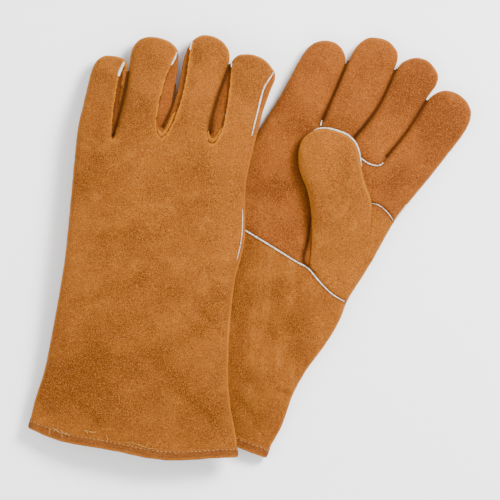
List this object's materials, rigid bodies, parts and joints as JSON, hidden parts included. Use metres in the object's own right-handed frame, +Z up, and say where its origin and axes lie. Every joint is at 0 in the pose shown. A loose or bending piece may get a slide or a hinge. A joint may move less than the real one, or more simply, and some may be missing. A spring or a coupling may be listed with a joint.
{
  "type": "welding gloves",
  "caption": "Pair of split-leather gauntlet gloves lying flat, one back up on top of one palm up, with welted seams, flared cuffs and bending fingers.",
  "frame": {"origin": "middle of the pair's footprint on the surface that it lies on", "axes": "+X across both gloves, from the left one to the right one's fingertips; +Y from the cuffs toward the fingers; +Z up"},
  "size_m": [0.3692, 0.3553, 0.0455],
  "materials": {
    "leather_golden_brown": "suede",
    "leather_orange_brown": "suede",
    "hem_binding": "suede",
    "white_welting": "matte",
    "yellow_thread": "matte",
    "cotton_lining": "matte"
  },
  "bodies": {
    "right_glove": {"right_back_panel": "leather_golden_brown", "right_palm_panel": "leather_orange_brown", "right_two_finger_front": "leather_orange_brown", "right_cuff_front": "leather_orange_brown", "right_forchettes": "leather_golden_brown", "right_seam_welts": "white_welting", "right_hand_lining": "cotton_lining", "right_cuff_lining": "cotton_lining", "right_cuff_hem": "hem_binding", "right_hem_stitching": "yellow_thread", "right_thumb_base": "leather_orange_brown"},
    "right_thumb": {"right_thumb_back": "leather_orange_brown", "right_thumb_front": "leather_orange_brown", "right_thumb_lining": "cotton_lining"},
    "right_index": {"right_index_back": "leather_golden_brown", "right_index_front": "leather_orange_brown", "right_index_sides": "leather_golden_brown", "right_index_lining": "cotton_lining"},
    "right_middle": {"right_middle_back": "leather_golden_brown", "right_middle_front": "leather_orange_brown", "right_middle_sides": "leather_golden_brown", "right_middle_lining": "cotton_lining"},
    "right_ring": {"right_ring_back": "leather_golden_brown", "right_ring_front": "leather_orange_brown", "right_ring_sides": "leather_golden_brown", "right_ring_lining": "cotton_lining"},
    "right_little": {"right_little_back": "leather_golden_brown", "right_little_front": "leather_orange_brown", "right_little_sides": "leather_golden_brown", "right_little_lining": "cotton_lining"},
    "left_glove": {"left_back_panel": "leather_golden_brown", "left_palm_panel": "leather_golden_brown", "left_two_finger_front": "leather_golden_brown", "left_cuff_front": "leather_golden_brown", "left_forchettes": "leather_golden_brown", "left_seam_welts": "white_welting", "left_hand_lining": "cotton_lining", "left_cuff_lining": "cotton_lining", "left_cuff_hem": "hem_binding", "left_hem_stitching": "yellow_thread", "left_thumb_base": "leather_golden_brown"},
    "left_thumb": {"left_thumb_back": "leather_golden_brown", "left_thumb_front": "leather_golden_brown", "left_thumb_lining": "cotton_lining"},
    "left_index": {"left_index_back": "leather_golden_brown", "left_index_front": "leather_golden_brown", "left_index_sides": "leather_golden_brown", "left_index_lining": "cotton_lining"},
    "left_middle": {"left_middle_back": "leather_golden_brown", "left_middle_front": "leather_golden_brown", "left_middle_sides": "leather_golden_brown", "left_middle_lining": "cotton_lining"},
    "left_ring": {"left_ring_back": "leather_golden_brown", "left_ring_front": "leather_golden_brown", "left_ring_sides": "leather_golden_brown", "left_ring_lining": "cotton_lining"},
    "left_little": {"left_little_back": "leather_golden_brown", "left_little_front": "leather_golden_brown", "left_little_sides": "leather_golden_brown", "left_little_lining": "cotton_lining"}
  },
  "joints": [
    {"name": "left_glove_lift", "type": "slide", "parent": "right_glove", "child": "left_glove", "axis": [0, 0, 1], "range_m": [0, 0.12]},
    {"name": "right_index_curl", "type": "hinge", "parent": "right_glove", "child": "right_index", "pos_m": [0.14407, 0.08197, 0.02], "axis": [0.8131, -0.5821, 0], "range_deg": [0, 65]},
    {"name": "right_middle_curl", "type": "hinge", "parent": "right_glove", "child": "right_middle", "pos_m": [0.11306, 0.09996, 0.02], "axis": [0.8665, -0.4992, 0], "range_deg": [0, 65]},
    {"name": "right_ring_curl", "type": "hinge", "parent": "right_glove", "child": "right_ring", "pos_m": [0.08415, 0.11577, 0.02], "axis": [0.8665, -0.4992, 0], "range_deg": [0, 65]},
    {"name": "right_little_curl", "type": "hinge", "parent": "right_glove", "child": "right_little", "pos_m": [0.05013, 0.13165, 0.02], "axis": [0.8878, -0.4602, 0], "range_deg": [0, 65]},
    {"name": "left_index_raise", "type": "hinge", "parent": "left_glove", "child": "left_index", "pos_m": [-0.00788, 0.10685, 0.0455], "axis": [0.972, -0.2351, 0], "range_deg": [0, 35]},
    {"name": "left_middle_raise", "type": "hinge", "parent": "left_glove", "child": "left_middle", "pos_m": [-0.04597, 0.11209, 0.0455], "axis": [0.9622, -0.2723, 0], "range_deg": [0, 35]},
    {"name": "left_ring_raise", "type": "hinge", "parent": "left_glove", "child": "left_ring", "pos_m": [-0.08993, 0.11627, 0.0455], "axis": [0.9785, -0.2062, 0], "range_deg": [0, 35]},
    {"name": "left_little_raise", "type": "hinge", "parent": "left_glove", "child": "left_little", "pos_m": [-0.12534, 0.11632, 0.0455], "axis": [0.9833, -0.1822, 0], "range_deg": [0, 35]},
    {"name": "right_thumb_lift", "type": "hinge", "parent": "right_glove", "child": "right_thumb", "pos_m": [0.07616, 0.00181, 0.0402], "axis": [0.9945, 0.1045, 0], "range_deg": [0, 60]},
    {"name": "left_thumb_swing", "type": "hinge", "parent": "left_glove", "child": "left_thumb", "pos_m": [-0.0356, 0.0439, 0.0205], "axis": [0, 0, -1], "range_deg": [0, 25]}
  ]
}
